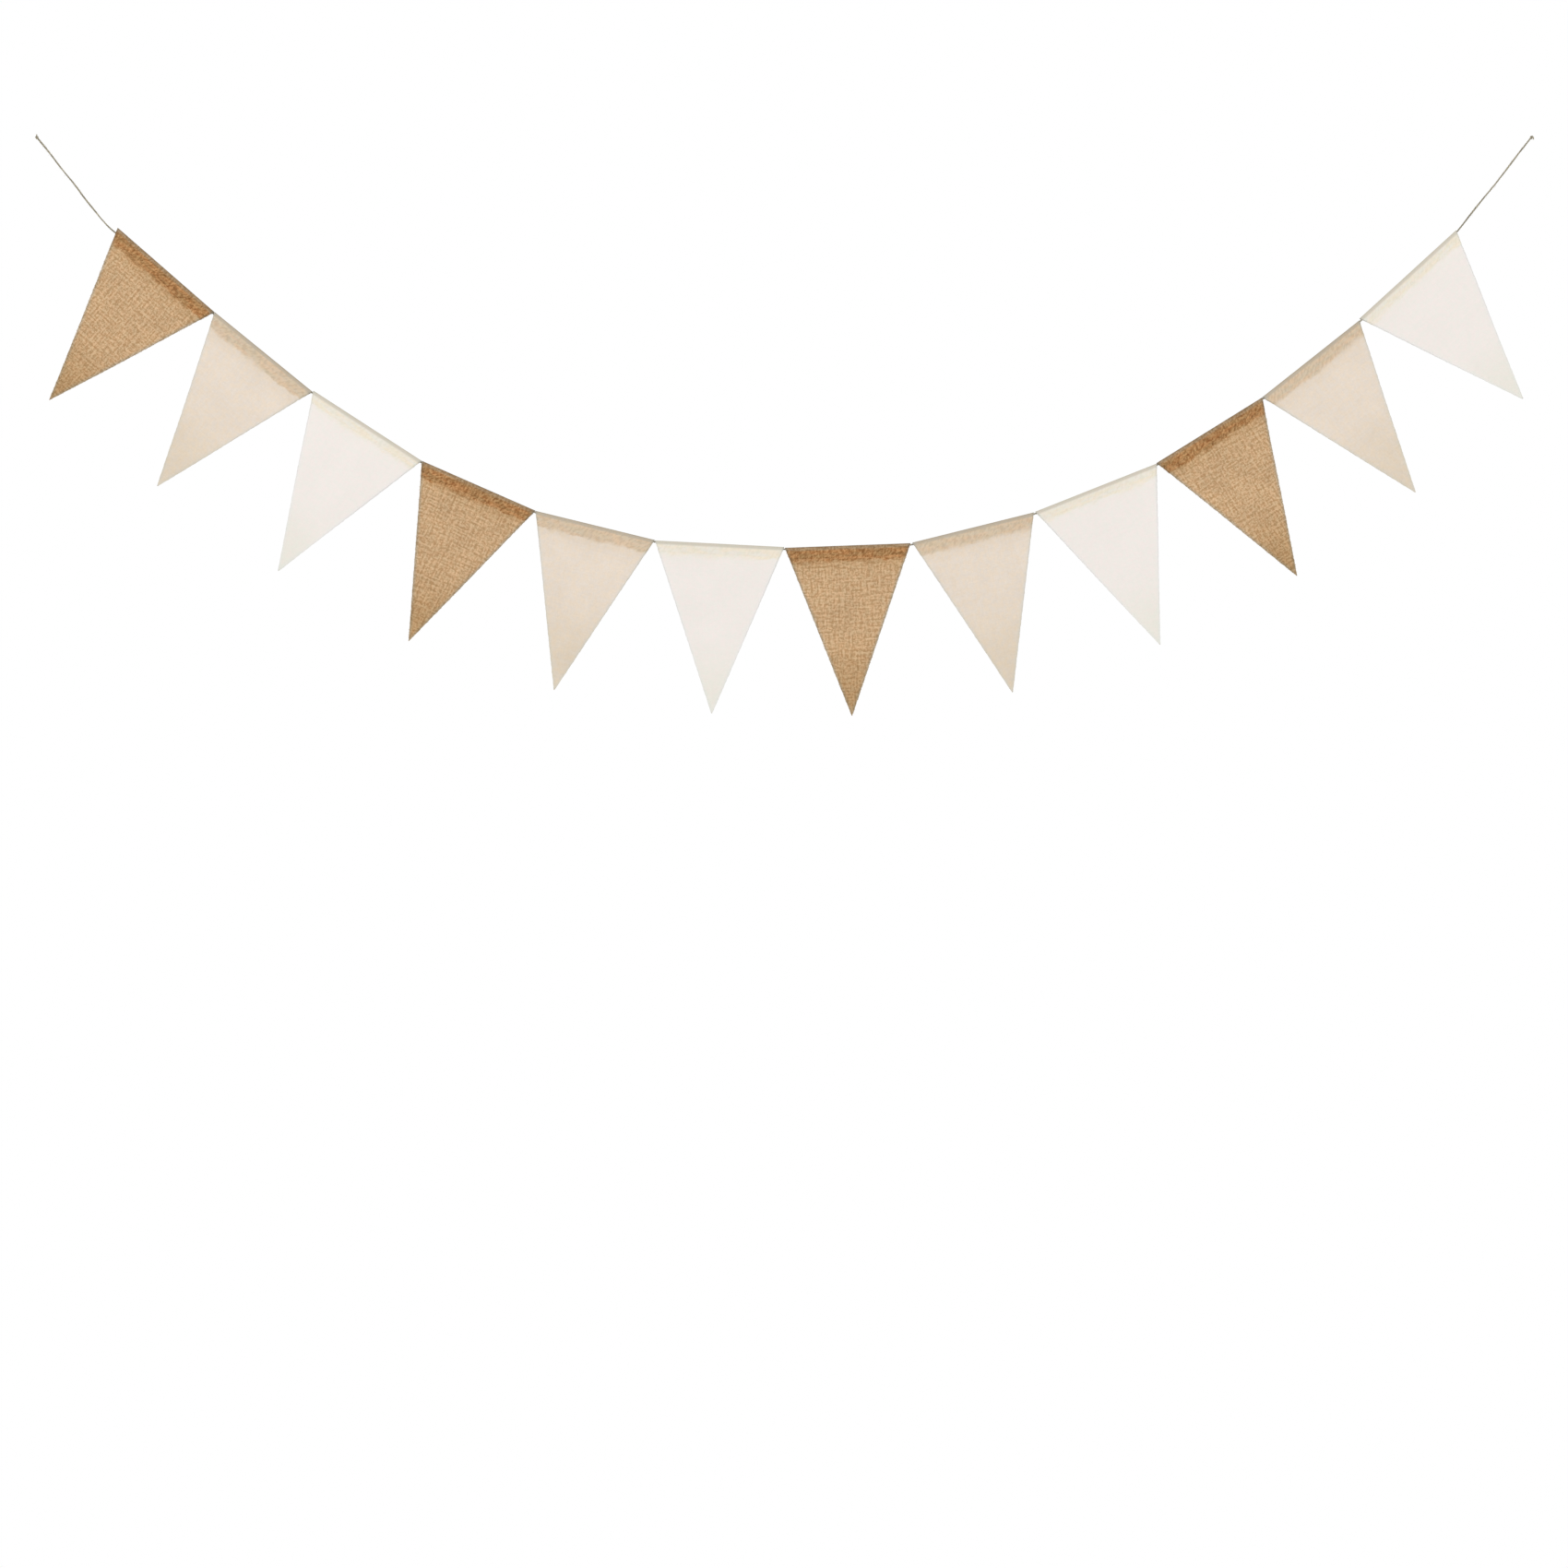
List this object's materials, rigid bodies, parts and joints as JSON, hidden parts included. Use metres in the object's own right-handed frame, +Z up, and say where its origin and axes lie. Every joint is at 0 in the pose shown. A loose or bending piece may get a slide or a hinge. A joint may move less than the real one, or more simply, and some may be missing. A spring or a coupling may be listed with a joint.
{
  "type": "fabric bunting",
  "caption": "String of triangular cloth pennants in tan, beige and cream, threaded through their hemmed tops on a thin jute twine that hangs in one long curve.",
  "frame": {"origin": "centre of the knot at the twine's left end, where the string is tied up", "axes": "+X to the right along the string, +Z up, the front faces of the pennants look along -Y"},
  "size_m": [1.7696, 0.0113, 0.6847],
  "materials": {
    "tan_cloth": "coarse plain-woven burlap, matt",
    "beige_cloth": "fine plain-woven linen, matt",
    "cream_cloth": "fine plain-woven cotton, matt",
    "jute_twine": "twisted jute, dull with loose fibres"
  },
  "bodies": {
    "root": {"twine": "jute_twine", "knot_left": "jute_twine", "knot_right": "jute_twine", "pennant_1": "tan_cloth", "pennant_2": "beige_cloth", "pennant_3": "cream_cloth", "pennant_4": "tan_cloth", "pennant_5": "beige_cloth", "pennant_6": "cream_cloth", "pennant_7": "tan_cloth", "pennant_8": "beige_cloth", "pennant_9": "cream_cloth", "pennant_10": "tan_cloth", "pennant_11": "beige_cloth", "pennant_12": "cream_cloth"}
  },
  "joints": []
}
